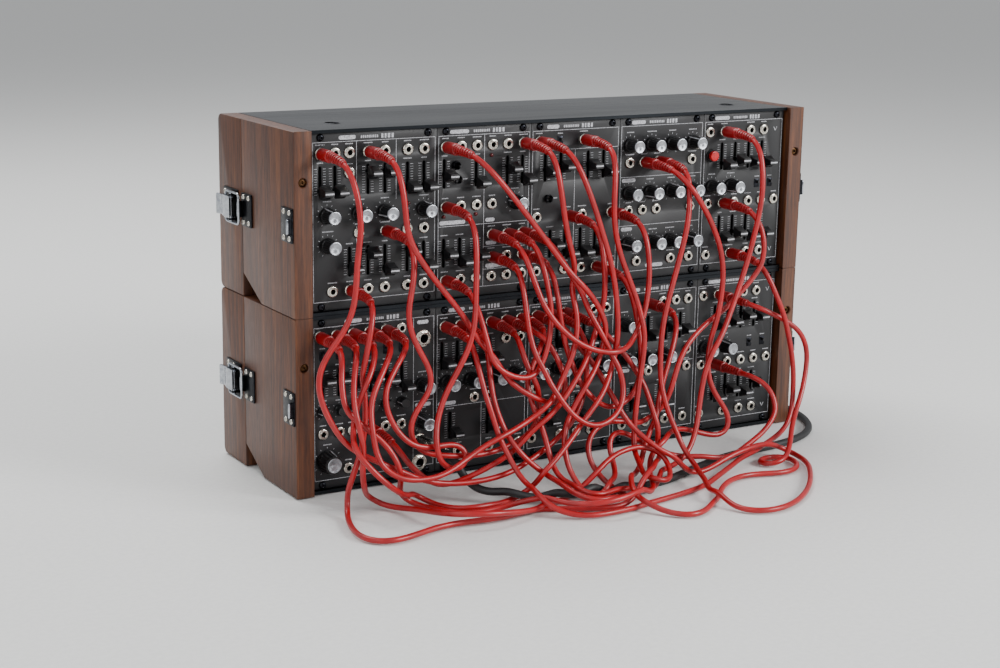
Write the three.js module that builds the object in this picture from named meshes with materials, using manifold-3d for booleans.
// A desktop modular synthesizer. Two cases with wooden cheeks stand on each other, each with
// five patch modules in front and a storage cover latched to its back. Patch cords run from
// jack to jack and lie in a heap in front, and one black audio lead runs off to the right.
//
// Frame: millimetres, +Z up, +X to the right of someone facing the panels, panels facing -Y.
// The origin is under the middle of the instrument, on the surface that it stands on.

import * as THREE from 'three';
import { mergeVertices } from 'three/addons/utils/BufferGeometryUtils.js';
import Module from 'manifold-3d';

const wasm = await Module();
wasm.setup();

// Driving dimensions, in millimetres

// Shared
const gap = 0.3; // between pieces that touch on the real object
const overrun = 1; // how far a cutter passes the face that it cuts
const mergeDistance = 0.0003; // corners of a mesh this close count as one

// Modules: the usual standard of 5.08 mm units and 128.5 mm panels
const unitWidth = 5.08;
const moduleUnits = [20, 16, 16, 16, 16];
const panelHeight = 128.5;
const panelThickness = 2;
const panelSideGap = 1.64;
const panelEndGap = 0.35;
const panelRecess = 6.5; // behind the cheeks' front edges

// Cases
const shellWall = 2.4;
const shellFrontRecess = 3.5;
const railDepth = 7;
const railHeight = 6.5;
const cheekThickness = 14.5;
const mainDepth = 94;
const coverDepth = 45;
const coverWall = 2;
const coverCornerRadius = 8;
const cornerSteps = 3;
const stackGap = 0.3;
const chamferDepth = 34; // the main cheeks' sloped rear foot
const chamferHeight = 18;
const cheekHoleRadius = 3.25;
const cheekHoleDepth = 3;
const cheekHoleHeight = 97.7;

// Rubber feet under the lower case, and the round wells in each case's top
const footRadius = 6;
const footHeight = 1;
const footSideInset = 34.7; // from the cheeks' inner faces
const footEndInset = 16;
const wellRadius = 6;
const wellDepth = 1.3;
const wellFrontDepth = 41;

// Jacks
const jackNutRadius = 4.3;
const jackNutHeight = 2.3;
const jackBoreRadius = 1.85;
const jackBoreDepth = 12; // from the panel's face
const bigJackNutRadius = 6.4;
const bigJackNutHeight = 2.6;
const bigJackBoreRadius = 3.3;
const roundSides = 6;
const boreSides = 5;

// Works behind each panel: the jacks' and controls' bodies on their circuit board
const worksDepth = 14.6;
const worksSideInset = 2.5;
const worksEndInset = 10.5;

// Sliders
const slotWidth = 2.3;
const slotLength = 22;
const stemWidth = 1.5;
const stemLength = 3;
const capFootHeight = 7.5;
const capTopHeight = 17;
const capBaseWidth = 8.4;
const capBaseHeight = 9.6;
const capTopWidth = 7.2;
const capTopLength = 4.4;
const slotDepth = 4;
const middleShare = 0.5; // of a slider's travel, where its cap stands in mid slot

// Knobs
const knobRadius = 5.9;
const knobCapRadius = 4.8;
const knobHeight = 14;
const smallKnobRadius = 4;
const smallKnobHeight = 7;
const bigKnobRadius = 8.6;
const bigKnobHeight = 13;
const bigKnobRibDepth = 0.7;
const bigKnobRibs = 12;
const knobSides = 8;
const shaftRadius = 3;
const shaftClearance = 0.35;

// Switches, button and lamps
const switchLeverLength = 2.2;
const switchLeverWidth = 1.8;
const switchLeverHeight = 3.2;
const toggleLeverRadius = 1.1;
const toggleLeverHeight = 8;
const toggleBushRadius = 3.2;
const toggleBushHeight = 3;
const buttonRadius = 4;
const buttonHeight = 4;
const buttonRingRadius = 5.2;
const buttonRingHeight = 1.2;
const buttonTravel = 1.5;
const buttonStemRadius = 2.4;

// Latches: a strike on each main cheek, and a lever with its bail on each cover cheek
const latchHeightAboveCase = 67;
const strikePlateDepth = 24;
const strikePlateHeight = 25;
const strikePlateThickness = 1.2;
const strikeEdgeInset = 2;
const strikeLipInset = 9; // from the strike plate's outer edge to its lip
const strikeLipThickness = 1.8;
const strikeLipHeight = 13;
const strikeLipStand = 5.2;
const latchBaseInset = 5.7; // from the cover's seam
const latchBaseLength = 28;
const latchBaseHeight = 26;
const latchBaseThickness = 1.2;
const latchEarThickness = 1.6;
const latchPinInset = 5; // from the base's front end to the lever's pin
const latchPinStand = 4.6;
const latchPinRadius = 1.1;
const leverEyeRadius = 2.4;
const leverThickness = 1.8;
const leverLength = 33;
const leverFlare = 4.4;
const leverNeckShare = 0.8; // of the eye's radius, where the blade starts
const leverWaistShare = 0.6; // of the lever's length, where the blade is narrowest
const leverArm = 9.5; // from the lever's pin to the bail's pivot
const bailRadius = 1;
const bailSpan = 23;
const bailReach = 33.4;
const bailStub = 4.8;
const bailPivotRadius = 0.75;
const wireSides = 5;

// Plugs and cords
const plugBodyRadius = 4.5;
const plugBodyLength = 15;
const plugLength = 35;
const plugTailRadius = 2.75;
const plugSides = 5;
const cordDiameter = 4.2;
const cordSides = 5;
const ringSag = 2.1; // how far a cord's solid may cut a corner of its line between rings
const ringBend = 50; // degrees that a cord turns between rings, at most
const bigPlugBodyRadius = 6.2;
const bigPlugBodyLength = 24;
const bigPlugLength = 46;
const bigPlugTailRadius = 3.8;
const leadDiameter = 6;

// The cords' settling: they are pushed clear of each other, of the floor and of the case
const settleStep = 5;
const settleClearance = 3.6;
const settleRounds = 140;
const caseClearance = 1.5;
const eveningShare = 0.1; // of the way to its neighbours' middle that a point moves at first
const heldPoints = 4; // at each plug, which settling leaves where they are

// Coil of the audio lead's unseen length, lying behind the case, and its far plug
const coilInnerRadius = 50;
const coilPitch = 6.9;
const coilTurns = 3;
const coilStepsPerTurn = 16;
const coilCentreX = 150;
const coilCentreY = 170;
const coilEndRadius = 15; // where the lead turns inwards to its plug
const coilEndTurn = 95; // degrees
const coilEndSteps = 4;
const bigPlugPinRadius = 3.1;
const bigPlugPinLength = 30;

// Derived sizes

const moduleWidths = moduleUnits.map((units) => units * unitWidth);
const panelsWidth = moduleWidths.reduce((sum, width) => sum + width, 0);
const innerHalfWidth = panelsWidth / 2 + panelSideGap;
const outerHalfWidth = innerHalfWidth + cheekThickness;
const caseHeight = panelHeight + 2 * (shellWall + panelEndGap);
const wholeDepth = mainDepth + coverDepth;
const frontProud = capTopHeight - panelRecess;
const frontY = frontProud - (frontProud + wholeDepth) / 2;
const panelY = frontY + panelRecess;
const caseBottoms = [footHeight, footHeight + caseHeight + stackGap];
const panelBottoms = caseBottoms.map((z) => z + shellWall + panelEndGap);
const caseTop = caseBottoms[1] + caseHeight;
const sliderTravel = slotLength - stemLength - 2 * gap;
const plugTailY = panelY - jackNutHeight - gap - plugLength;
const bigPlugTailY = panelY - bigJackNutHeight - gap - bigPlugLength;

// Control layouts
//
// Each table holds places as shares of the panel's width and height, from its lower left
// corner. A jack, knob or switch row is [height share, [width shares]]. A slider row is
// [height share of the slots' middle, [[width share, cap's share of its travel]]].

const upperOneShares = {
  jacks: [
    [0.887, [0.07, 0.185, 0.298, 0.444, 0.579, 0.761, 0.895]],
    [0.774, [0.298]],
    [0.432, [0.371, 0.579, 0.758, 0.895]],
    [0.107, [0.16, 0.298, 0.442, 0.577, 0.758, 0.894]],
  ],
  sliders: [
    [0.7315, [[0.185, 0.14], [0.444, 0.82], [0.579, 0.82], [0.761, 0.14], [0.895, 0.14]]],
    [0.2685, [[0.298, 0.32], [0.444, 0.86], [0.579, 0.16], [0.761, 0.84], [0.895, 0.18]]],
  ],
  knobs: [
    [0.54, [0.371, 0.579, 0.892]],
    [0.37, [0.127]],
  ],
  slideSwitches: [[0.528, [0.758]]],
};

const upperTwoShares = {
  jacks: [
    [0.887, [0.087, 0.252, 0.417, 0.582, 0.747, 0.912]],
    [0.54, [0.087, 0.252, 0.417, 0.582]],
    [0.358, [0.582, 0.747, 0.912]],
    [0.226, [0.582, 0.747, 0.912]],
    [0.109, [0.087, 0.252, 0.417, 0.582, 0.747, 0.912]],
  ],
  sliders: [
    [0.7315, [[0.078, 0.5], [0.413, 0.14], [0.747, 0.64], [0.909, 0.14]]],
    [0.2685, [[0.078, 0.55], [0.246, 0.2], [0.413, 0.4]]],
  ],
  knobs: [[0.542, [0.829]]],
  toggles: [[0.696, [0.215]]],
};

const upperThreeShares = {
  jacks: [
    [0.887, [0.087, 0.582]],
    [0.436, [0.071, 0.417, 0.582, 0.912]],
    [0.109, [0.074, 0.388, 0.578, 0.747, 0.923]],
  ],
  sliders: [
    [0.7315, [[0.16, 0.4], [0.332, 0.57], [0.64, 0.55], [0.816, 0.27]]],
    [0.2685, [[0.228, 0.55], [0.394, 0.16], [0.57, 0.16], [0.738, 0.16]]],
  ],
  knobs: [],
  slideSwitches: [[0.887, [0.32]]],
  toggles: [[0.545, [0.197]]],
};

const upperFourShares = {
  jacks: [
    [0.727, [0.119, 0.282, 0.447, 0.86]],
    [0.432, [0.117, 0.282, 0.448, 0.859]],
    [0.113, [0.23, 0.64, 0.86]],
  ],
  sliders: [],
  knobs: [
    [0.833, [0.373, 0.619, 0.865]],
    [0.54, [0.118, 0.369, 0.623, 0.861]],
    [0.226, [0.123, 0.418, 0.627, 0.861]],
  ],
};

const upperFiveShares = {
  jacks: [
    [0.887, [0.074, 0.252, 0.582, 0.747]],
    [0.436, [0.074, 0.252, 0.406, 0.582, 0.747, 0.912]],
    [0.109, [0.074, 0.369, 0.582, 0.747]],
  ],
  sliders: [
    [0.7315, [[0.4, 0.36], [0.568, 0.25], [0.736, 0.2]]],
    [0.2685, [[0.234, 0.16], [0.4, 0.36], [0.568, 0.18], [0.736, 0.25]]],
  ],
  knobs: [[0.542, [0.119, 0.357]]],
  slideSwitches: [[0.545, [0.689, 0.855]]],
};

const lowerOneShares = {
  jacks: [
    [0.899, [0.054, 0.186, 0.318, 0.45, 0.582, 0.714]],
    [0.327, [0.079, 0.211, 0.318, 0.45, 0.582, 0.714]],
    [0.105, [0.282, 0.394]],
  ],
  bigJacks: [
    [0.823, [0.896]],
    [0.2, [0.866]],
    [0.072, [0.866]],
  ],
  sliders: [
    [0.623, [[0.079, 0.75], [0.21, 0.75], [0.34, 0.5], [0.463, 0.64], [0.591, 0.5], [0.719, 0.1]]],
  ],
  knobs: [
    [0.543, [0.89]],
    [0.325, [0.886]],
  ],
  smallKnobs: [[0.459, [0.21, 0.34, 0.463, 0.591, 0.719]]],
  slideSwitches: [[0.785, [0.079, 0.21, 0.34, 0.463, 0.591, 0.719]]],
};

const lowerTwoShares = {
  jacks: [
    [0.879, [0.087, 0.252, 0.582, 0.747, 0.912]],
    [0.768, [0.757, 0.912]],
    [0.428, [0.417, 0.579]],
    [0.109, [0.092, 0.24, 0.582, 0.912]],
  ],
  sliders: [
    [0.7, [[0.071, 0.3], [0.234, 0.3], [0.406, 0.3], [0.58, 0.3]]],
    [0.27, [[0.16, 0.3], [0.57, 0.4]]],
  ],
  knobs: [[0.54, [0.125, 0.381, 0.642, 0.864]]],
};

const lowerThreeShares = {
  jacks: [
    [0.885, [0.086, 0.246, 0.406, 0.738, 0.892]],
    [0.428, [0.087, 0.417, 0.582, 0.912]],
    [0.117, [0.062, 0.388, 0.578, 0.747]],
  ],
  sliders: [
    [0.715, [[0.16, 0.3], [0.332, 0.5], [0.64, 0.4], [0.816, 0.6]]],
    [0.27, [[0.228, 0.2], [0.57, 0.3]]],
  ],
  knobs: [[0.541, [0.098, 0.357, 0.611, 0.824]]],
};

const lowerFourShares = {
  jacks: [
    [0.883, [0.39, 0.572, 0.731, 0.88]],
    [0.553, [0.892]],
    [0.444, [0.417, 0.89]],
    [0.113, [0.117, 0.406, 0.64, 0.86]],
  ],
  sliders: [
    [0.715, [[0.406, 0.3], [0.627, 0.6], [0.8, 0.4]]],
    [0.27, [[0.228, 0.4], [0.57, 0.3]]],
  ],
  knobs: [
    [0.54, [0.117, 0.357, 0.599]],
    [0.76, [0.117]],
  ],
};

const lowerFiveShares = {
  jacks: [
    [0.887, [0.074, 0.252, 0.582, 0.747]],
    [0.436, [0.074, 0.215, 0.406, 0.582, 0.747, 0.912]],
    [0.109, [0.074, 0.369, 0.582, 0.747]],
  ],
  sliders: [
    [0.7315, [[0.234, 0.3], [0.4, 0.4], [0.568, 0.6], [0.736, 0.5]]],
    [0.2685, [[0.234, 0.2], [0.4, 0.5], [0.568, 0.3], [0.736, 0.6]]],
  ],
  knobs: [[0.542, [0.119, 0.357]]],
  slideSwitches: [[0.545, [0.689, 0.855]]],
};

const rowNames = ['lower', 'upper'];
const layoutShares = {
  lower: [lowerOneShares, lowerTwoShares, lowerThreeShares, lowerFourShares, lowerFiveShares],
  upper: [upperOneShares, upperTwoShares, upperThreeShares, upperFourShares, upperFiveShares],
};

// The controls that move on their own, each [row, module, width share, height share].
const movingShares = {
  sliderLeft: ['upper', 0, 0.07, 0.7315, 0.14],
  sliderRight: ['upper', 4, 0.234, 0.7315, 0.2],
  knobLeft: ['upper', 0, 0.123, 0.54],
  knobRight: ['upper', 3, 0.121, 0.833],
  smallKnob: ['lower', 0, 0.079, 0.459],
  bigKnob: ['lower', 0, 0.115, 0.161],
  button: ['upper', 4, 0.106, 0.739],
  toggle: ['upper', 1, 0.197, 0.778],
};

// Cord routes
//
// Each patch cord joins two jacks, named as [row, module, jack row, jack], and passes the
// points between them, in mm in the instrument's frame.

const patchRoutes = [
  {
    from: ['upper', 0, 0, 0],
    to: ['lower', 2, 0, 1],
    via: [[-199, -112, 218], [-204, -112, 184], [-206, -112, 145], [-219, -112, 128],
      [-236, -111, 108], [-234, -114, 88], [-217, -120, 56], [-193, -128, 39],
      [-201, -134, 44], [-180, -134, 31], [-155, -134, 23], [-125, -136, 19],
      [-93, -138, 21], [-62, -136, 33], [-35, -130, 49], [-16, -122, 70]],
  },
  {
    from: ['upper', 0, 0, 3],
    to: ['lower', 1, 0, 3],
    via: [[-164, -110, 226], [-167, -112, 203], [-153, -112, 178], [-140, -112, 162],
      [-112, -112, 129], [-95, -117, 100], [-66, -126, 72], [-34, -128, 66],
      [-34, -118, 96]],
  },
  {
    from: ['upper', 0, 2, 1],
    to: ['lower', 1, 0, 2],
    via: [[-151, -108, 182], [-160, -110, 158], [-166, -112, 140], [-158, -114, 118],
      [-142, -118, 90], [-166, -122, 73], [-171, -124, 60], [-168, -126, 49],
      [-153, -127, 42], [-129, -128, 37], [-102, -128, 35], [-79, -128, 39],
      [-59, -126, 52], [-55, -124, 67], [-64, -120, 83], [-74, -116, 104]],
  },
  {
    from: ['upper', 0, 3, 1],
    to: ['lower', 2, 0, 2],
    via: [[-190, -108, 142], [-196, -110, 116], [-197, -112, 68], [-204, -116, 40],
      [-216, -124, 29], [-207, -100, 4], [-224, -142, 3], [-228, -175, 3], [-218, -185, 3],
      [-197, -180, 3], [-168, -169, 3], [-144, -170, 3], [-124, -176, 3], [-85, -167, 3],
      [-58, -186, 3], [-26, -190, 3], [-9, -187, 11], [12, -168, 14], [35, -144, 20],
      [41, -136, 31], [41, -126, 54], [34, -118, 80]],
  },
  {
    from: ['upper', 1, 0, 0],
    to: ['lower', 4, 1, 1],
    via: [[-98, -110, 244], [-71, -114, 211], [-35, -116, 167], [-14, -118, 138],
      [2, -124, 106], [-34, -128, 66], [-45, -132, 50], [-48, -138, 33], [-49, -150, 17],
      [-40, -151, 3], [-43, -179, 3], [-23, -169, 4], [-3, -146, 9], [-3, -138, 23],
      [-10, -134, 38], [-2, -130, 45], [13, -129, 43], [27, -132, 29], [49, -134, 16],
      [71, -140, 9], [94, -146, 7], [124, -142, 10], [152, -132, 22], [171, -124, 41],
      [165, -118, 60]],
  },
  {
    from: ['upper', 1, 1, 0],
    to: ['lower', 0, 0, 4],
    via: [[-106, -110, 186], [-110, -114, 160], [-115, -121, 120], [-144, -124, 79],
      [-150, -128, 60], [-155, -132, 42], [-151, -134, 28], [-135, -135, 25],
      [-118, -134, 32], [-109, -131, 41], [-121, -128, 49], [-139, -128, 48],
      [-159, -128, 44], [-176, -126, 55], [-185, -122, 72], [-189, -118, 93]],
  },
  {
    from: ['upper', 1, 0, 5],
    to: ['lower', 0, 0, 3],
    via: [[-38, -110, 234], [-32, -112, 193], [-26, -114, 163], [-22, -118, 126],
      [-43, -126, 77], [-57, -130, 63], [-78, -132, 54], [-99, -134, 49], [-127, -138, 40],
      [-152, -146, 29], [-174, -142, 29], [-191, -138, 34], [-202, -134, 43],
      [-205, -128, 56], [-203, -122, 76], [-197, -118, 96]],
  },
  {
    from: ['upper', 2, 0, 0],
    to: ['lower', 0, 0, 2],
    via: [[-18, -110, 236], [-4, -114, 197], [6, -118, 160], [10, -122, 122], [2, -130, 84],
      [-53, -146, 36], [-71, -152, 21], [-78, -136, 3], [-108, -149, 3], [-135, -153, 3],
      [-149, -135, 3], [-154, -106, 3], [-192, -146, 28], [-202, -140, 36],
      [-207, -132, 46], [-207, -124, 62], [-205, -118, 86]],
  },
  {
    from: ['upper', 2, 0, 1],
    to: ['lower', 0, 0, 1],
    via: [[13, -110, 238], [8, -114, 200], [14, -116, 170], [28, -120, 138],
      [32, -126, 100], [17, -134, 40], [18, -142, 21], [7, -166, 11], [-2, -186, 12],
      [1, -191, 6], [11, -190, 11], [40, -150, 11], [32, -144, 24], [14, -142, 28],
      [-9, -146, 27], [-28, -156, 18], [-41, -150, 3], [-70, -164, 3], [-108, -180, 7],
      [-138, -186, 12], [-156, -179, 12], [-166, -165, 10], [-167, -144, 7],
      [-170, -124, 3], [-185, -116, 3], [-185, -95, 3], [-211, -136, 31], [-210, -130, 45],
      [-210, -124, 67], [-212, -117, 94]],
  },
  {
    from: ['upper', 3, 0, 1],
    to: ['lower', 0, 0, 0],
    via: [[84, -110, 216], [104, -112, 186], [114, -114, 160], [112, -116, 130],
      [94, -124, 63], [107, -128, 48], [119, -132, 30], [114, -134, 19], [96, -132, 22],
      [76, -130, 31], [55, -132, 37], [36, -140, 25], [22, -154, 8], [-20, -200, 14],
      [-45, -208, 14], [-65, -203, 12], [-79, -185, 9], [-93, -167, 8], [-109, -151, 3],
      [-138, -156, 3], [-154, -132, 3], [-161, -108, 3], [-183, -140, 30], [-183, -132, 46],
      [-195, -126, 62], [-211, -122, 71], [-222, -116, 91]],
  },
  {
    from: ['upper', 3, 0, 2],
    to: ['lower', 2, 0, 0],
    via: [[85, -110, 210], [76, -112, 176], [62, -116, 138], [52, -120, 112],
      [50, -130, 45], [56, -138, 27], [62, -150, 9], [52, -179, 5], [41, -210, 3],
      [38, -239, 3], [53, -253, 3], [78, -250, 3], [108, -232, 3], [141, -199, 3],
      [163, -163, 3], [166, -137, 4], [130, -152, 18], [103, -156, 14], [78, -160, 8],
      [60, -159, 3], [42, -158, 16], [27, -150, 27], [11, -140, 44], [2, -128, 63],
      [-2, -117, 83]],
  },
  {
    from: ['upper', 4, 0, 1],
    to: ['lower', 1, 0, 4],
    via: [[152, -112, 228], [148, -114, 197], [138, -114, 158], [122, -118, 124],
      [92, -126, 82], [69, -140, 16], [35, -154, 10], [2, -171, 4], [-36, -185, 7],
      [-54, -191, 12], [-56, -174, 12], [-59, -148, 14], [-62, -136, 35], [-60, -126, 61],
      [-65, -118, 88]],
  },
  {
    from: ['upper', 4, 1, 1],
    to: ['lower', 1, 0, 1],
    via: [[160, -110, 176], [160, -112, 156], [142, -112, 139], [112, -114, 114],
      [78, -118, 98], [39, -130, 37], [20, -130, 41], [3, -128, 47], [-12, -128, 47],
      [-23, -130, 37], [-26, -134, 24], [-21, -142, 12], [-12, -152, 3], [-16, -182, 3],
      [-41, -190, 6], [-58, -194, 12], [-62, -176, 12], [-68, -146, 18], [-85, -138, 34],
      [-95, -130, 53], [-100, -120, 77]],
  },
  {
    from: ['upper', 4, 2, 1],
    to: ['lower', 1, 0, 0],
    via: [[168, -110, 132], [182, -112, 98], [190, -114, 69], [184, -122, 22],
      [161, -132, 13], [128, -142, 10], [95, -158, 8], [66, -174, 3], [38, -187, 3],
      [3, -193, 3], [-31, -198, 3], [-57, -204, 3], [-74, -197, 3], [-85, -185, 7],
      [-91, -184, 12], [-89, -167, 12], [-92, -150, 20], [-96, -140, 37], [-98, -132, 54],
      [-102, -124, 71], [-108, -118, 91]],
  },
  {
    from: ['upper', 2, 1, 1],
    to: ['lower', 0, 1, 3],
    via: [[4, -110, 176], [2, -116, 138], [-20, -124, 94], [-62, -130, 54],
      [-116, -130, 22], [-152, -122, 14], [-166, -114, 30]],
  },
  {
    from: ['upper', 2, 1, 3],
    to: ['upper', 1, 2, 0],
    via: [[46, -110, 174], [42, -114, 136], [24, -124, 104], [-20, -130, 104],
      [-52, -122, 132], [-63, -110, 166]],
  },
  {
    from: ['upper', 2, 2, 3],
    to: ['upper', 1, 3, 2],
    via: [[34, -110, 132], [36, -116, 98], [22, -128, 58], [-12, -128, 60],
      [-34, -116, 108], [-37, -110, 146]],
  },
  {
    from: ['upper', 1, 2, 1],
    to: ['upper', 1, 4, 0],
    via: [[-48, -110, 162], [-46, -118, 122], [-68, -124, 84], [-98, -118, 100],
      [-105, -110, 132]],
  },
  {
    from: ['upper', 1, 2, 2],
    to: ['upper', 1, 3, 0],
    via: [[-30, -112, 166], [-4, -122, 116], [8, -138, 62], [-30, -146, 48],
      [-62, -124, 96], [-67, -112, 144]],
  },
  {
    from: ['lower', 4, 0, 1],
    to: ['lower', 3, 0, 0],
    via: [[180, -110, 106], [206, -113, 84], [200, -118, 60], [190, -124, 40],
      [173, -134, 22], [159, -150, 10], [147, -164, 3], [124, -179, 3], [126, -165, 3],
      [144, -147, 4], [156, -152, 7], [152, -173, 3], [128, -189, 3], [113, -178, 3],
      [92, -173, 3], [63, -189, 3], [21, -228, 3], [-1, -239, 3], [-10, -221, 3],
      [-18, -203, 4], [-22, -189, 12], [15, -150, 12], [36, -138, 29], [50, -126, 56],
      [62, -117, 81]],
  },
];

// The audio lead, from its jack to where its coil starts.
const leadFrom = ['lower', 0, 1, 0];
const leadRoute = [[-122, -124, 14], [-104, -140, 4], [-44, -168, 3.5], [6, -168, 3.5],
  [55, -150, 3.5], [120, -128, 3.5], [183, -121, 3.5], [222, -102, 3.5], [246, -60, 3.5],
  [250, 0, 3.5], [248, 60, 3.5], [234, 104, 3.5]];

// Helpers

/** Turns a closed three.js geometry into a solid for joining and cutting. */
function solid(geometry) {
  const bare = geometry.index ? geometry.toNonIndexed() : geometry.clone();
  bare.deleteAttribute('normal');
  bare.deleteAttribute('uv');
  const merged = mergeVertices(bare, mergeDistance);
  return new wasm.Manifold(new wasm.Mesh({
    numProp: 3,
    vertProperties: new Float32Array(merged.attributes.position.array),
    triVerts: new Uint32Array(merged.index.array),
  }));
}

/** Turns a solid back into a three.js geometry. */
function geometryOf(body) {
  const mesh = body.getMesh();
  const geometry = new THREE.BufferGeometry();
  geometry.setAttribute('position', new THREE.BufferAttribute(mesh.vertProperties, 3));
  geometry.setIndex(new THREE.BufferAttribute(mesh.triVerts, 1));
  geometry.computeVertexNormals();
  return geometry;
}

function join(bodies) {
  return bodies.reduce((whole, body) => whole.add(body));
}

function cut(body, cutters) {
  return cutters.length ? body.subtract(join(cutters)) : body;
}

/** A box between two opposite corners. */
function block(low, high) {
  const size = high.map((value, axis) => value - low[axis]);
  const geometry = new THREE.BoxGeometry(...size);
  geometry.translate(...low.map((value, axis) => value + size[axis] / 2));
  return solid(geometry);
}

/** An outline in (y, z), carried along X from x0 to x1. */
function prismAlongX(outline, x0, x1) {
  const shape = new THREE.Shape(outline.map(([y, z]) => new THREE.Vector2(y, z)));
  const geometry = new THREE.ExtrudeGeometry(shape, { depth: x1 - x0, bevelEnabled: false });
  geometry.rotateX(Math.PI / 2);
  geometry.rotateZ(Math.PI / 2);
  geometry.translate(x0, 0, 0);
  return solid(geometry);
}

/** An outline in (x, y), with round holes, carried up Z from z0 to z1. */
function prismAlongZ(outline, holes, z0, z1) {
  const shape = new THREE.Shape(outline.map(([x, y]) => new THREE.Vector2(x, y)));
  for (const { x, y, radius, sides } of holes) {
    const ring = ringPoints(radius, sides).map(([u, v]) => new THREE.Vector2(x + u, y + v));
    shape.holes.push(new THREE.Path(ring));
  }
  const geometry = new THREE.ExtrudeGeometry(shape, { depth: z1 - z0, bevelEnabled: false });
  geometry.translate(0, 0, z0);
  return solid(geometry);
}

function ringPoints(radius, sides) {
  const points = [];
  for (let i = 0; i < sides; i += 1) {
    const angle = (2 * Math.PI * i) / sides;
    points.push([radius * Math.cos(angle), radius * Math.sin(angle)]);
  }
  return points;
}

/** A turned piece with its axis along Y. The profile is [radius, y], from axis to axis. */
function turnedAlongY(profile, sides) {
  const points = profile.map(([radius, y]) => new THREE.Vector2(radius, y));
  if (points[0].y > points[points.length - 1].y) {
    points.reverse();
  }
  return solid(new THREE.LatheGeometry(points, sides));
}

function rodAlongY(radius, y0, y1, sides) {
  return turnedAlongY([[0, y0], [radius, y0], [radius, y1], [0, y1]], sides);
}

function rodAlongZ(radius, z0, z1, sides) {
  const geometry = new THREE.CylinderGeometry(radius, radius, z1 - z0, sides);
  geometry.rotateX(Math.PI / 2);
  geometry.translate(0, 0, (z0 + z1) / 2);
  return solid(geometry);
}

/** A round tube along a curve. */
function tube(curve, radius, sides, steps) {
  const section = new THREE.Shape(
    ringPoints(radius, sides).map(([x, y]) => new THREE.Vector2(x, y)),
  );
  return solid(new THREE.ExtrudeGeometry(section, { steps, extrudePath: curve }));
}

/** How far a line's points stray from the straight line between two of them. */
function sagBetween(fine, first, last) {
  const chord = new THREE.Line3(fine[first], fine[last]);
  const nearest = new THREE.Vector3();
  let most = 0;
  for (let i = first + 1; i < last; i += 1) {
    chord.closestPointToPoint(fine[i], true, nearest);
    most = Math.max(most, nearest.distanceTo(fine[i]));
  }
  return most;
}

/** A path along chosen points of a fine line: few where it runs straight, more in its bends. */
class RingPath extends THREE.Curve {
  constructor(fine) {
    super();
    this.stops = [0];
    this.fine = fine;
    let last = 0;
    let turned = 0;
    for (let i = 1; i < fine.length - 1; i += 1) {
      const before = fine[i].clone().sub(fine[i - 1]);
      const after = fine[i + 1].clone().sub(fine[i]);
      turned += THREE.MathUtils.radToDeg(before.angleTo(after));
      if (turned > ringBend || sagBetween(fine, last, i + 1) > ringSag) {
        this.stops.push(i);
        last = i;
        turned = 0;
      }
    }
    this.stops.push(fine.length - 1);
  }

  stopAt(share) {
    return this.stops[Math.round(share * (this.stops.length - 1))];
  }

  getPointAt(share, target = new THREE.Vector3()) {
    return target.copy(this.fine[this.stopAt(share)]);
  }

  getTangentAt(share, target = new THREE.Vector3()) {
    const i = this.stopAt(share);
    const ahead = this.fine[Math.min(i + 1, this.fine.length - 1)];
    const behind = this.fine[Math.max(i - 1, 0)];
    return target.subVectors(ahead, behind).normalize();
  }
}

function lineLength(points) {
  let length = 0;
  for (let i = 1; i < points.length; i += 1) {
    length += points[i].distanceTo(points[i - 1]);
  }
  return Math.round(length);
}

function cordTube(points, radius) {
  const path = new RingPath(points);
  return tube(path, radius, cordSides, path.stops.length - 1);
}

/** A quarter of a round corner, as points [a, b] about a centre, from one angle to another. */
function cornerPoints(centreA, centreB, radius, fromAngle, toAngle) {
  const points = [];
  for (let i = 0; i <= cornerSteps; i += 1) {
    const angle = fromAngle + ((toAngle - fromAngle) * i) / cornerSteps;
    points.push([centreA + radius * Math.cos(angle), centreB + radius * Math.sin(angle)]);
  }
  return points;
}

// Materials

const walnut = new THREE.MeshStandardMaterial({ color: '#5a3018', roughness: 0.5 });
const blackMetal = new THREE.MeshStandardMaterial({
  color: '#17181b', roughness: 0.45, metalness: 0.8,
});
const panelPaint = new THREE.MeshStandardMaterial({ color: '#1c1c1f', roughness: 0.55 });
const chrome = new THREE.MeshStandardMaterial({
  color: '#c9ccd0', roughness: 0.2, metalness: 1,
});
const blackPlastic = new THREE.MeshStandardMaterial({ color: '#101012', roughness: 0.5 });
const silverCap = new THREE.MeshStandardMaterial({
  color: '#b9bcc2', roughness: 0.35, metalness: 0.9,
});
const redPlastic = new THREE.MeshStandardMaterial({ color: '#c01818', roughness: 0.4 });
const redCord = new THREE.MeshStandardMaterial({ color: '#c8161d', roughness: 0.45 });
const blackCord = new THREE.MeshStandardMaterial({ color: '#141416', roughness: 0.6 });

// The group and its meshes

const synthesizer = new THREE.Group();

function place(parent, name, body, material, position = [0, 0, 0]) {
  const mesh = new THREE.Mesh(geometryOf(body), material);
  mesh.name = name;
  mesh.position.set(...position);
  parent.add(mesh);
  return mesh;
}

/** Where a share of a module's panel lies: its place on the panel's front face. */
function panelSpot(row, index, widthShare, heightShare) {
  const left = -panelsWidth / 2
    + moduleWidths.slice(0, index).reduce((sum, width) => sum + width, 0);
  return [
    left + widthShare * moduleWidths[index],
    panelY,
    panelBottoms[rowNames.indexOf(row)] + heightShare * panelHeight,
  ];
}

function jackSpot([row, index, jackRow, jack], kind = 'jacks') {
  const [heightShare, widthShares] = layoutShares[row][index][kind][jackRow];
  return panelSpot(row, index, widthShares[jack], heightShare);
}

// Case shells, with their rails and feet

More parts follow.
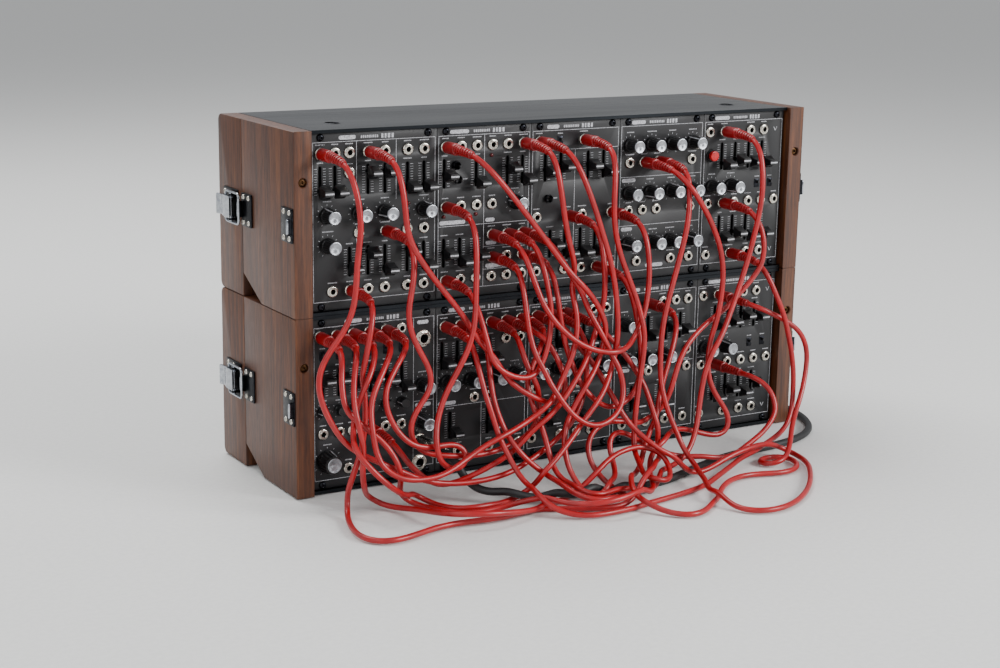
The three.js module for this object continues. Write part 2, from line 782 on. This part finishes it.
/** The case's metal channel: top, back and bottom walls, and a rail behind each panel end. */
function shellOutline() {
  const front = shellFrontRecess;
  const back = mainDepth;
  const railFront = panelRecess + panelThickness + gap;
  const railBack = railFront + railDepth;
  const lowRail = shellWall + railHeight;
  const highRail = caseHeight - lowRail;
  return [
    [front, 0], [back, 0], [back, caseHeight], [front, caseHeight],
    [front, caseHeight - shellWall], [railFront, caseHeight - shellWall],
    [railFront, highRail], [railBack, highRail],
    [railBack, caseHeight - shellWall], [back - shellWall, caseHeight - shellWall],
    [back - shellWall, shellWall], [railBack, shellWall],
    [railBack, lowRail], [railFront, lowRail],
    [railFront, shellWall], [front, shellWall],
  ];
}

function atBothSides(makePiece, depths) {
  const x = innerHalfWidth - footSideInset;
  const places = depths.flatMap((depth) => [[-x, depth, 0], [x, depth, 0]]);
  return places.map((spot) => makePiece().translate(spot));
}

for (const [index, row] of rowNames.entries()) {
  const halfLength = innerHalfWidth - gap;
  const shell = prismAlongX(shellOutline(), -halfLength, halfLength);
  const isLowest = index === 0;
  const feet = atBothSides(
    () => rodAlongZ(footRadius, -footHeight, shellWall / 2, roundSides),
    isLowest ? [footEndInset, mainDepth - footEndInset] : [],
  );
  const wells = atBothSides(
    () => rodAlongZ(wellRadius, caseHeight - wellDepth, caseHeight + overrun, roundSides),
    [wellFrontDepth],
  );
  const body = cut(join([shell, ...feet]), wells);
  place(synthesizer, `case_${row}_shell`, body, blackMetal, [0, frontY, caseBottoms[index]]);
}

// Main cheeks, each with its two strikes

/** A strike: a plate on the cheek with one upright lip that the bail hooks behind. */
function strike(side, plateNear, plateFar, lipDepth) {
  const face = side * outerHalfWidth;
  const low = latchHeightAboveCase - strikePlateHeight / 2;
  const plate = block(
    [Math.min(face - side * gap, face + side * strikePlateThickness), plateNear, low],
    [Math.max(face - side * gap, face + side * strikePlateThickness), plateFar,
      low + strikePlateHeight],
  );
  const lipLow = latchHeightAboveCase - strikeLipHeight / 2;
  const lip = block(
    [Math.min(face, face + side * strikeLipStand), lipDepth - strikeLipThickness / 2, lipLow],
    [Math.max(face, face + side * strikeLipStand), lipDepth + strikeLipThickness / 2,
      lipLow + strikeLipHeight],
  );
  return join([plate, lip]);
}

const strikeBackInset = mainDepth - strikeEdgeInset;

for (const [index, row] of rowNames.entries()) {
  for (const side of [-1, 1]) {
    const outline = [
      [0, 0], [mainDepth - chamferDepth, 0], [mainDepth, chamferHeight],
      [mainDepth, caseHeight], [0, caseHeight],
    ];
    const inner = side * innerHalfWidth;
    const outer = side * outerHalfWidth;
    const board = prismAlongX(outline, Math.min(inner, outer), Math.max(inner, outer));
    const hole = rodAlongY(cheekHoleRadius, -overrun, cheekHoleDepth, roundSides)
      .translate([(inner + outer) / 2, 0, cheekHoleHeight]);
    const frontStrike = strike(
      side, strikeEdgeInset, strikeEdgeInset + strikePlateDepth,
      strikeEdgeInset + strikeLipInset,
    );
    const rearStrike = strike(
      side, strikeBackInset - strikePlateDepth, strikeBackInset,
      strikeBackInset - strikeLipInset,
    );
    const cheek = join([cut(board, [hole]), frontStrike, rearStrike]);
    const name = `cheek_${row}_${side < 0 ? 'left' : 'right'}`;
    place(synthesizer, name, cheek, walnut, [0, frontY, caseBottoms[index]]);
  }
}

// Storage covers on the back, with their cheeks and latch bases

/** The cover's outline from the side, open towards the case. */
function coverOutline(wall) {
  const front = mainDepth + gap;
  const back = wholeDepth;
  const outerRadius = coverCornerRadius;
  const outer = [
    [front, 0],
    ...cornerPoints(back - outerRadius, outerRadius, outerRadius, -Math.PI / 2, 0),
    ...cornerPoints(back - outerRadius, caseHeight - outerRadius, outerRadius, 0, Math.PI / 2),
    [front, caseHeight],
  ];
  if (!wall) {
    return outer;
  }
  const innerRadius = outerRadius - wall;
  const inner = [
    [front, caseHeight - wall],
    ...cornerPoints(
      back - outerRadius, caseHeight - outerRadius, innerRadius, Math.PI / 2, 0,
    ),
    ...cornerPoints(back - outerRadius, outerRadius, innerRadius, 0, -Math.PI / 2),
    [front, wall],
  ];
  return [...outer, ...inner];
}

const latchBaseFront = mainDepth + latchBaseInset;
const latchPinDepth = latchBaseFront + latchPinInset;
const leverHalfHeight = bailSpan / 2 - bailRadius - gap;
const earInner = leverHalfHeight - latchEarThickness;

/** A latch's black base: its plate, two ears and the pin that the lever turns on. */
function latchBase(side) {
  const face = side * outerHalfWidth;
  const span = (near, far) => [
    Math.min(side * near, side * far), Math.max(side * near, side * far),
  ];
  const [plateLow, plateHigh] = span(
    outerHalfWidth - gap, outerHalfWidth + latchBaseThickness,
  );
  const plate = block(
    [plateLow, latchBaseFront, -latchBaseHeight / 2],
    [plateHigh, latchBaseFront + latchBaseLength, latchBaseHeight / 2],
  );
  const [earLow, earHigh] = span(
    outerHalfWidth, outerHalfWidth + latchPinStand + latchPinRadius,
  );
  const ears = [-1, 1].map((end) => block(
    [earLow, latchPinDepth - latchPinRadius * 2,
      Math.min(end * earInner, end * leverHalfHeight)],
    [earHigh, latchPinDepth + latchPinRadius * 2,
      Math.max(end * earInner, end * leverHalfHeight)],
  ));
  const pin = rodAlongZ(latchPinRadius, -leverHalfHeight, leverHalfHeight, wireSides)
    .translate([face + side * latchPinStand, latchPinDepth, 0]);
  return join([plate, ...ears, pin]).translate([0, 0, latchHeightAboveCase]);
}

for (const [index, row] of rowNames.entries()) {
  const halfLength = innerHalfWidth - gap;
  const pan = prismAlongX(coverOutline(coverWall), -halfLength, halfLength);
  place(synthesizer, `cover_${row}_pan`, pan, blackMetal, [0, frontY, caseBottoms[index]]);
  for (const side of [-1, 1]) {
    const inner = side * innerHalfWidth;
    const outer = side * outerHalfWidth;
    const board = prismAlongX(
      coverOutline(0), Math.min(inner, outer), Math.max(inner, outer),
    );
    const name = `cover_${row}_${side < 0 ? 'left' : 'right'}_cheek`;
    const cheek = join([board, latchBase(side)]);
    place(synthesizer, name, cheek, walnut, [0, frontY, caseBottoms[index]]);
  }
}

// Latch levers and bails

/** The lever, drawn in (out, depth) about its pin, with a flared finger end. */
function latchLever(side) {
  const half = leverThickness / 2;
  const outline = [
    [-half, leverEyeRadius], [half, leverEyeRadius],
    [leverEyeRadius, half], [leverEyeRadius, -half],
    [half, -leverEyeRadius], [-half, -leverEyeRadius],
    [-leverEyeRadius, -half], [-leverEyeRadius, half],
  ];
  const eye = { x: 0, y: 0, radius: latchPinRadius + shaftClearance, sides: wireSides };
  const innerEar = earInner - gap;
  const hub = prismAlongZ(outline, [eye], -innerEar, innerEar);
  const pivotHole = {
    x: 0, y: leverArm, radius: bailPivotRadius * Math.SQRT2 + shaftClearance, sides: wireSides,
  };
  const bladeOutline = [
    [half, leverEyeRadius * leverNeckShare],
    [leverEyeRadius, leverArm - leverEyeRadius],
    [leverEyeRadius, leverArm + leverEyeRadius],
    [half, leverLength * leverWaistShare],
    [leverFlare, leverLength],
    [leverFlare - leverThickness, leverLength],
    [-half, leverLength * leverWaistShare],
    [-leverEyeRadius, leverArm + leverEyeRadius],
    [-leverEyeRadius, leverArm - leverEyeRadius],
    [-half, leverEyeRadius * leverNeckShare],
  ].reverse();
  const blade = prismAlongZ(bladeOutline, [pivotHole], -innerEar, innerEar);
  const lever = join([hub, blade]);
  return side < 0 ? lever.scale([-1, 1, 1]) : lever;
}

/** The bail: a wire from one side of the lever, round the strike's lip, to the other side. */
function latchBail() {
  const half = bailSpan / 2;
  const bends = [
    [0, -half + bailStub], [0, -half], [-bailReach, -half],
    [-bailReach, half], [0, half], [0, half - bailStub],
  ];
  const pieces = [];
  for (let i = 1; i < bends.length; i += 1) {
    const [y0, z0] = bends[i - 1];
    const [y1, z1] = bends[i];
    const isStub = i === 1 || i === bends.length - 1;
    const radius = isStub ? bailPivotRadius : bailRadius;
    pieces.push(block(
      [-radius, Math.min(y0, y1) - radius, Math.min(z0, z1) - radius],
      [radius, Math.max(y0, y1) + radius, Math.max(z0, z1) + radius],
    ));
  }
  return join(pieces);
}

for (const [index, row] of rowNames.entries()) {
  for (const side of [-1, 1]) {
    const sideName = side < 0 ? 'left' : 'right';
    const pinPlace = [
      side * (outerHalfWidth + latchPinStand),
      frontY + latchPinDepth,
      caseBottoms[index] + latchHeightAboveCase,
    ];
    place(synthesizer, `latch_${row}_${sideName}_lever`, latchLever(side), chrome, pinPlace);
    const pivotPlace = [pinPlace[0], pinPlace[1] + leverArm, pinPlace[2]];
    place(synthesizer, `latch_${row}_${sideName}_bail`, latchBail(), chrome, pivotPlace);
  }
}

// Module controls, each drawn about its place on the panel's face, with -Y outwards

/** Whether a plug closes this jack. A closed jack is drawn without its bore. */
function isPlugged(kind, jack) {
  const same = (other) => other.every((value, place) => value === jack[place]);
  if (kind === 'bigJacks') {
    return same(leadFrom);
  }
  return patchRoutes.some(({ from, to }) => same(from) || same(to));
}

function nut(radius, height) {
  return rodAlongY(radius, -height, panelThickness / 2, roundSides);
}

function bore(radius, nutHeight) {
  return rodAlongY(radius, -nutHeight - overrun, jackBoreDepth, boreSides);
}

function sliderCap() {
  const half = (value) => value / 2;
  const section = (y, width, height) => [
    [-half(width), y, -half(height)], [half(width), y, -half(height)],
    [half(width), y, half(height)], [-half(width), y, half(height)],
  ];
  const corners = [
    ...section(-capFootHeight, capBaseWidth, capBaseHeight),
    ...section(-capTopHeight, capTopWidth, capTopLength),
  ];
  const quads = [
    [0, 1, 2, 3], [7, 6, 5, 4], [0, 4, 5, 1], [1, 5, 6, 2], [2, 6, 7, 3], [3, 7, 4, 0],
  ];
  const positions = [];
  for (const [a, b, c, d] of quads) {
    for (const corner of [a, c, b, a, d, c]) {
      positions.push(...corners[corner]);
    }
  }
  const geometry = new THREE.BufferGeometry();
  geometry.setAttribute('position', new THREE.Float32BufferAttribute(positions, 3));
  return solid(geometry);
}

function sliderStem(foot) {
  return block(
    [-stemWidth / 2, -capFootHeight - overrun, -stemLength / 2],
    [stemWidth / 2, foot, stemLength / 2],
  );
}

/** A knob's cone. The fixed ones carry on into the panel, the loose ones stop short of it. */
function knob(radius, capRadius, height, foot, sides) {
  return turnedAlongY([[0, foot], [radius, foot], [capRadius, -height], [0, -height]], sides);
}

function slideSwitch() {
  return block(
    [-switchLeverWidth / 2, -switchLeverHeight, 0],
    [switchLeverWidth / 2, panelThickness / 2, switchLeverLength],
  );
}

function toggleBush() {
  return rodAlongY(toggleBushRadius, -toggleBushHeight, panelThickness / 2, roundSides);
}

function toggleLever(foot) {
  return rodAlongY(toggleLeverRadius, -toggleLeverHeight, foot, roundSides);
}

// The modules: panel, jacks, sliders, knobs and board, all one rigid assembly

function eachPlace(rows, width, visit) {
  for (const [heightShare, widthShares] of rows ?? []) {
    for (const widthShare of widthShares) {
      visit(widthShare * width, heightShare * panelHeight);
    }
  }
}

function moduleBody(row, index) {
  const shares = layoutShares[row][index];
  const width = moduleWidths[index];
  const solids = [
    block([gap / 2, 0, 0], [width - gap / 2, panelThickness, panelHeight]),
    block(
      [worksSideInset, panelThickness / 2, worksEndInset],
      [width - worksSideInset, worksDepth, panelHeight - worksEndInset],
    ),
  ];
  const cutters = [];
  const later = [];

  const sockets = [
    ['jacks', jackNutRadius, jackNutHeight, jackBoreRadius],
    ['bigJacks', bigJackNutRadius, bigJackNutHeight, bigJackBoreRadius],
  ];
  for (const [kind, nutRadius, nutHeight, boreRadius] of sockets) {
    for (const [jackRow, [heightShare, widthShares]] of (shares[kind] ?? []).entries()) {
      for (const [jack, widthShare] of widthShares.entries()) {
        const spot = [widthShare * width, 0, heightShare * panelHeight];
        solids.push(nut(nutRadius, nutHeight).translate(spot));
        if (!isPlugged(kind, [row, index, jackRow, jack])) {
          cutters.push(bore(boreRadius, nutHeight).translate(spot));
        }
      }
    }
  }

  const slot = block(
    [-slotWidth / 2, -overrun, -slotLength / 2],
    [slotWidth / 2, slotDepth, slotLength / 2],
  );
  for (const [heightShare, sliders] of shares.sliders) {
    for (const [widthShare, travelShare] of sliders) {
      const x = widthShare * width;
      const z = heightShare * panelHeight;
      cutters.push(slot.translate([x, 0, z]));
      later.push(join([sliderCap(), sliderStem(slotDepth + overrun)])
        .translate([x, 0, z + (travelShare - middleShare) * sliderTravel]));
    }
  }

  // Wells for this module's moving controls
  for (const [name, spot] of Object.entries(movingShares)) {
    const [spotRow, spotIndex, widthShare, heightShare] = spot;
    if (spotRow !== row || spotIndex !== index) {
      continue;
    }
    const x = widthShare * width;
    const z = heightShare * panelHeight;
    if (name.startsWith('slider')) {
      cutters.push(slot.translate([x, 0, z]));
    } else {
      const radius = name === 'button' ? buttonStemRadius : shaftRadius;
      cutters.push(rodAlongY(
        radius + shaftClearance, -overrun - buttonRingHeight - toggleBushHeight,
        slotDepth, knobSides,
      ).translate([x, 0, z]));
      if (name === 'button') {
        solids.push(rodAlongY(
          buttonRingRadius, -buttonRingHeight, panelThickness / 2, knobSides,
        ).translate([x, 0, z]));
      }
      if (name === 'toggle') {
        solids.push(rodAlongY(
          shaftRadius + shaftClearance + overrun, -toggleBushHeight, panelThickness / 2,
          knobSides,
        ).translate([x, 0, z]));
      }
    }
  }

  eachPlace(shares.knobs, width, (x, z) => {
    later.push(knob(
      knobRadius, knobCapRadius, knobHeight, panelThickness / 2, roundSides,
    ).translate([x, 0, z]));
  });
  eachPlace(shares.smallKnobs, width, (x, z) => {
    later.push(rodAlongY(
      smallKnobRadius, -smallKnobHeight, panelThickness / 2, roundSides,
    ).translate([x, 0, z]));
  });
  eachPlace(shares.slideSwitches, width, (x, z) => {
    later.push(slideSwitch().translate([x, 0, z]));
  });
  eachPlace(shares.toggles, width, (x, z) => {
    later.push(join([toggleBush(), toggleLever(0)]).translate([x, 0, z]));
  });

  return join([cut(join(solids), cutters), ...later]);
}

for (const row of rowNames) {
  for (const index of moduleUnits.keys()) {
    place(
      synthesizer, `module_${row}_${index + 1}`, moduleBody(row, index), panelPaint,
      panelSpot(row, index, 0, 0),
    );
  }
}

// The controls that move on their own

function placeControl(name, key, body, material, lift = 0) {
  const [row, index, widthShare, heightShare] = movingShares[key];
  const [x, y, z] = panelSpot(row, index, widthShare, heightShare);
  place(synthesizer, name, body, material, [x, y, z + lift]);
}

const looseSlider = join([sliderCap(), sliderStem(slotDepth - gap)]);
for (const [name, key] of [['slider_upper_1', 'sliderLeft'], ['slider_upper_5', 'sliderRight']]) {
  const travelShare = movingShares[key][4];
  placeControl(name, key, looseSlider, blackPlastic, (travelShare - middleShare) * sliderTravel);
}

/** A knob that stands just off the panel on its shaft. */
function looseKnob(cap) {
  return join([cap, rodAlongY(shaftRadius, -overrun, panelThickness, knobSides)]);
}

const loose = knob(knobRadius, knobCapRadius, knobHeight, -gap, knobSides);
placeControl('knob_upper_1', 'knobLeft', looseKnob(loose), silverCap);
placeControl('knob_upper_4', 'knobRight', looseKnob(loose), silverCap);
const looseSmall = rodAlongY(smallKnobRadius, -smallKnobHeight, -gap, knobSides);
placeControl('small_knob_lower_1', 'smallKnob', looseKnob(looseSmall), blackPlastic);

const ribOutline = [];
for (let i = 0; i < 2 * bigKnobRibs; i += 1) {
  const angle = (Math.PI * i) / bigKnobRibs;
  const radius = i % 2 ? bigKnobRadius : bigKnobRadius - bigKnobRibDepth;
  ribOutline.push([radius * Math.cos(angle), radius * Math.sin(angle)]);
}
const ribbed = prismAlongZ(ribOutline, [], gap, bigKnobHeight).rotate([90, 0, 0]);
placeControl('big_knob_lower_1', 'bigKnob', looseKnob(ribbed), blackPlastic);

const button = join([
  rodAlongY(buttonRadius, -buttonHeight - buttonRingHeight, -buttonRingHeight - buttonTravel
    - gap, knobSides),
  rodAlongY(buttonStemRadius, -buttonHeight, panelThickness - gap, knobSides),
]);
placeControl('button_upper_5', 'button', button, redPlastic);
placeControl('toggle_upper_2', 'toggle', toggleLever(slotDepth - gap), chrome);

// Settling the cords
//
// Every cord starts as a smooth curve through its chosen points. Then, round by round, points
// of different cords that come too close are pushed apart, points inside the case's or the
// floor's clearance are moved out, and each cord is evened along its length. Plugs stay put.

function plugTail(spot, tailY) {
  return new THREE.Vector3(spot[0], tailY, spot[2]);
}

function cordPoints(start, via, end) {
  const points = [start.clone().add(new THREE.Vector3(0, plugBodyLength / 2, 0)), start];
  points.push(start.clone().add(new THREE.Vector3(0, -plugBodyLength / 2, 0)));
  points.push(...via.map((point) => new THREE.Vector3(...point)));
  if (end) {
    points.push(end.clone().add(new THREE.Vector3(0, -plugBodyLength / 2, 0)), end);
    points.push(end.clone().add(new THREE.Vector3(0, plugBodyLength / 2, 0)));
  }
  const curve = new THREE.CatmullRomCurve3(points, false, 'centripetal');
  const count = Math.round(curve.getLength() / settleStep);
  return curve.getSpacedPoints(count);
}

function keepClearOfCase(point, radius) {
  const side = outerHalfWidth + caseClearance + radius;
  const front = frontY - frontProud - caseClearance - radius;
  const back = frontY + wholeDepth + caseClearance + radius;
  const top = caseTop + caseClearance + radius;
  if (Math.abs(point.x) < side && point.y > front && point.y < back && point.z < top) {
    const toSide = side - Math.abs(point.x);
    const toFront = point.y - front;
    const toBack = back - point.y;
    if (toFront <= toSide && toFront <= toBack) {
      point.y = front;
    } else if (toSide <= toBack) {
      point.x = Math.sign(point.x) * side;
    } else {
      point.y = back;
    }
  }
  point.z = Math.max(point.z, radius + gap);
}

function settle(cords, posts) {
  const push = new THREE.Vector3();
  const middle = new THREE.Vector3();
  for (let round = 0; round < settleRounds; round += 1) {
    for (let a = 0; a < cords.length; a += 1) {
      for (let b = a; b < cords.length; b += 1) {
        const reach = cords[a].radius + cords[b].radius + settleClearance;
        separate(cords[a], cords[b], reach, push);
      }
      for (const post of posts) {
        const reach = cords[a].radius + post.radius + settleClearance;
        for (let i = cords[a].held; i < cords[a].points.length - cords[a].heldEnd; i += 1) {
          push.subVectors(cords[a].points[i], post.centre);
          const distance = push.length();
          if (distance < reach && distance > 0) {
            cords[a].points[i].addScaledVector(push, (reach - distance) / distance);
          }
        }
      }
    }
    const evening = eveningShare * (1 - round / settleRounds);
    for (const cord of cords) {
      const before = cord.points.map((point) => point.clone());
      for (let i = cord.held; i < cord.points.length - cord.heldEnd; i += 1) {
        middle.addVectors(before[i - 1], before[i + 1]).multiplyScalar(0.5);
        cord.points[i].lerp(middle, evening);
        keepClearOfCase(cord.points[i], cord.radius);
      }
    }
  }
}

function separate(first, second, reach, push) {
  const same = first === second;
  const skip = Math.ceil((2 * reach) / settleStep) + 1;
  for (let i = 0; i < first.points.length; i += 1) {
    for (let j = same ? i + skip : 0; j < second.points.length; j += 1) {
      push.subVectors(first.points[i], second.points[j]);
      if (Math.abs(push.x) > reach || Math.abs(push.y) > reach || Math.abs(push.z) > reach) {
        continue;
      }
      const distance = push.length();
      if (distance >= reach || distance === 0) {
        continue;
      }
      const firstFree = i >= first.held && i < first.points.length - first.heldEnd;
      const secondFree = j >= second.held && j < second.points.length - second.heldEnd;
      const share = firstFree && secondFree ? 0.5 : 1;
      const amount = (share * (reach - distance)) / distance;
      if (firstFree) {
        first.points[i].addScaledVector(push, amount);
      }
      if (secondFree) {
        second.points[j].addScaledVector(push, -amount);
      }
    }
  }
}

const settling = patchRoutes.map((route) => {
  const start = plugTail(jackSpot(route.from), plugTailY);
  const end = plugTail(jackSpot(route.to), plugTailY);
  return {
    start,
    end,
    points: cordPoints(start, route.via, end),
    radius: cordDiameter / 2,
    held: heldPoints,
    heldEnd: heldPoints,
  };
});

const leadStart = plugTail(jackSpot(leadFrom, 'bigJacks'), bigPlugTailY);
const coilOuterRadius = coilInnerRadius + coilPitch * coilTurns;
const coilStart = new THREE.Vector3(
  coilCentreX + coilOuterRadius, coilCentreY, leadDiameter / 2 + gap,
);
const leadPoints = cordPoints(leadStart, leadRoute, null);
leadPoints.push(new THREE.Vector3(coilStart.x, coilStart.y - 2 * settleStep, coilStart.z));
leadPoints.push(new THREE.Vector3(coilStart.x, coilStart.y - settleStep, coilStart.z));
leadPoints.push(new THREE.Vector3(coilStart.x, coilStart.y - gap, coilStart.z));
const leadCord = {
  start: leadStart,
  points: leadPoints,
  radius: leadDiameter / 2,
  held: heldPoints,
  heldEnd: heldPoints,
};
settling.push(leadCord);

const posts = [];
for (const cord of settling) {
  for (const tail of [cord.start, cord.end]) {
    if (!tail) {
      continue;
    }
    const radius = cord.radius * 2;
    for (let y = tail.y + radius; y < panelY; y += radius) {
      posts.push({ centre: new THREE.Vector3(tail.x, y, tail.z), radius });
    }
  }
}
settle(settling, posts);

// Patch cords and the audio lead

/** A plug, drawn with its face at y 0 and its cord leaving towards -Y. */
function plug(bodyRadius, bodyLength, length, tailRadius) {
  return turnedAlongY([
    [0, 0], [bodyRadius, 0], [bodyRadius, -bodyLength], [tailRadius, -length], [0, -length],
  ], plugSides);
}

const patchPlug = plug(plugBodyRadius, plugBodyLength, plugLength, plugTailRadius);
const bigPlug = plug(bigPlugBodyRadius, bigPlugBodyLength, bigPlugLength, bigPlugTailRadius);

for (const [index] of patchRoutes.entries()) {
  const cord = settling[index];
  const faceY = plugTailY + plugLength;
  const name = `patch_cord_${String(index + 1).padStart(2, '0')}`;
  const body = join([
    cordTube(cord.points, cordDiameter / 2),
    patchPlug.translate([cord.start.x, faceY, cord.start.z]),
    patchPlug.translate([cord.end.x, faceY, cord.end.z]),
  ]);
  place(synthesizer, name, body, redCord);
  console.log(name, 'length', lineLength(cord.points), 'mm');
}

const leadBody = join([
  cordTube(leadCord.points, leadDiameter / 2),
  bigPlug.translate([leadStart.x, bigPlugTailY + bigPlugLength, leadStart.z]),
]);
place(synthesizer, 'audio_lead', leadBody, blackCord);

/** The coil: a flat spiral on the floor that turns inwards at its end, to its plug. */
function coilLine() {
  const points = [
    coilStart.clone(),
    coilStart.clone().add(new THREE.Vector3(0, leadDiameter, 0)),
  ];
  const steps = coilTurns * coilStepsPerTurn;
  for (let i = 1; i <= steps; i += 1) {
    const angle = (2 * Math.PI * i) / coilStepsPerTurn;
    const radius = coilOuterRadius - (coilPitch * i) / coilStepsPerTurn;
    points.push(new THREE.Vector3(
      coilCentreX + radius * Math.cos(angle),
      coilCentreY + radius * Math.sin(angle),
      coilStart.z,
    ));
  }
  const plugZ = bigPlugBodyRadius + gap;
  const turnX = coilCentreX + coilInnerRadius - coilEndRadius;
  for (let i = 1; i <= coilEndSteps; i += 1) {
    const share = i / coilEndSteps;
    const angle = THREE.MathUtils.degToRad(coilEndTurn) * share;
    points.push(new THREE.Vector3(
      turnX + coilEndRadius * Math.cos(angle),
      coilCentreY + coilEndRadius * Math.sin(angle),
      THREE.MathUtils.lerp(coilStart.z, plugZ, share),
    ));
  }
  return points;
}

/** A path whose rings are just the given points. */
class PointPath extends RingPath {
  constructor(points) {
    super(points);
    this.stops = points.map((_, i) => i);
  }
}

const coilPoints = coilLine();
const coilTube = tube(
  new PointPath(coilPoints), leadDiameter / 2, cordSides, coilPoints.length - 1,
);
const farPlug = join([
  bigPlug.translate([0, bigPlugLength, 0]),
  rodAlongY(bigPlugPinRadius, bigPlugLength - overrun, bigPlugLength + bigPlugPinLength,
    roundSides),
]);
const coilEnd = coilPoints[coilPoints.length - 1];
const coilBody = join([
  coilTube,
  farPlug.translate([0, -overrun, 0]).rotate([0, 0, coilEndTurn])
    .translate([coilEnd.x, coilEnd.y, coilEnd.z]),
]);

/** The least gap between neighbouring turns of the coil, measured on its points. */
function leastCoilGap() {
  let least = Infinity;
  for (let i = 0; i < coilPoints.length; i += 1) {
    for (let j = i + coilStepsPerTurn / 2; j < coilPoints.length; j += 1) {
      least = Math.min(least, coilPoints[i].distanceTo(coilPoints[j]));
    }
  }
  return least - leadDiameter;
}

place(synthesizer, 'audio_lead_coil', coilBody, blackCord);
console.log('audio lead', lineLength(leadCord.points), 'mm, its coil', lineLength(coilPoints),
  'mm, least gap in the coil', leastCoilGap().toFixed(2), 'mm');

let triangles = 0;
synthesizer.traverse((piece) => {
  if (piece.isMesh) {
    triangles += piece.geometry.index.count / 3;
  }
});
console.log('pieces', synthesizer.children.length, 'triangles', triangles);

export default synthesizer;
